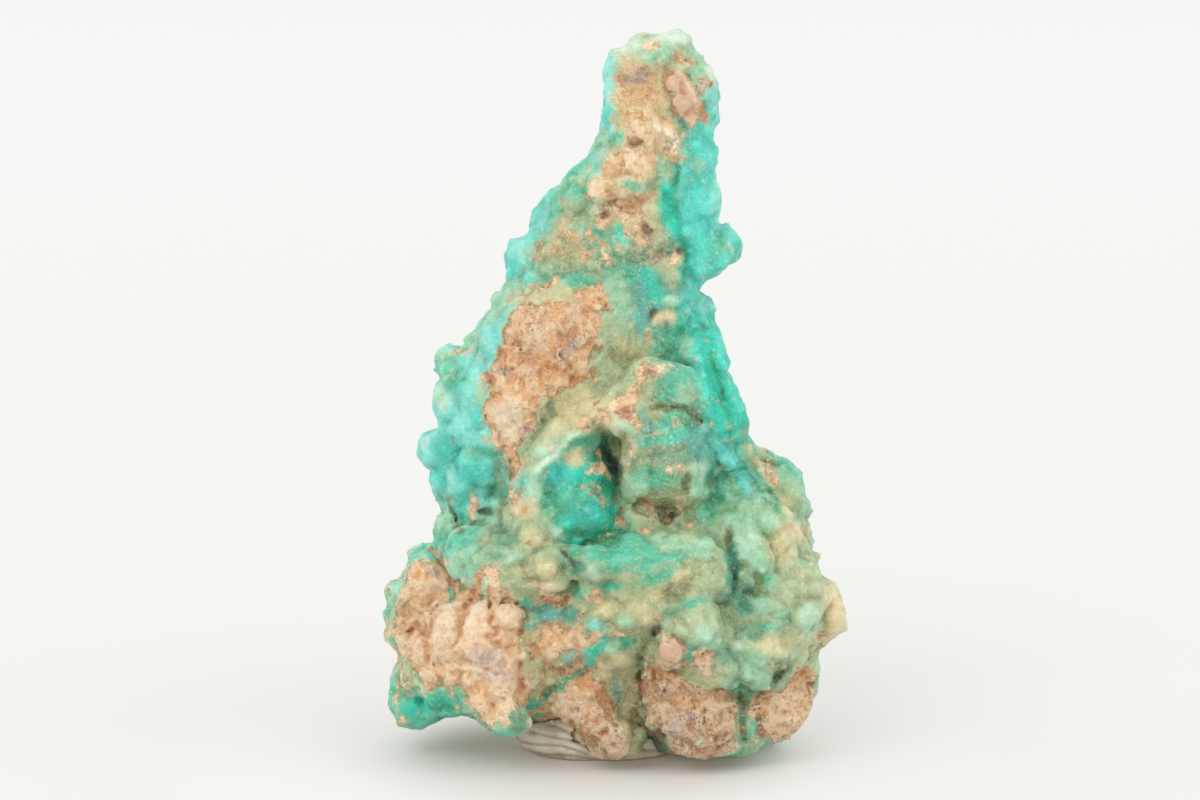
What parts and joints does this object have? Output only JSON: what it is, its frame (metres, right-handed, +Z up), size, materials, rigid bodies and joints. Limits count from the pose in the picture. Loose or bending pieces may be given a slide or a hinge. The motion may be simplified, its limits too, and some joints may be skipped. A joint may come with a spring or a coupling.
{
  "type": "hemimorphite mineral specimen",
  "caption": "Upright, tapering cabinet mineral specimen: a turquoise hemimorphite crust on pale tan rock, standing in a pressed pad of display putty.",
  "frame": {"origin": "centre of the bounding box's underside, on the surface that the specimen stands on", "axes": "+Z up along the specimen, +X to the right as seen from the face with the broken rock, +Y away from that face"},
  "size_m": [0.0602, 0.0418, 0.0934],
  "materials": {
    "mineral_crust": "satin, slightly translucent turquoise-green drusy crust over matt tan rock",
    "putty": "soft warm-grey putty with a dull sheen"
  },
  "bodies": {
    "root": {"hemimorphite_on_matrix": "mineral_crust", "display_putty": "putty"}
  },
  "joints": []
}
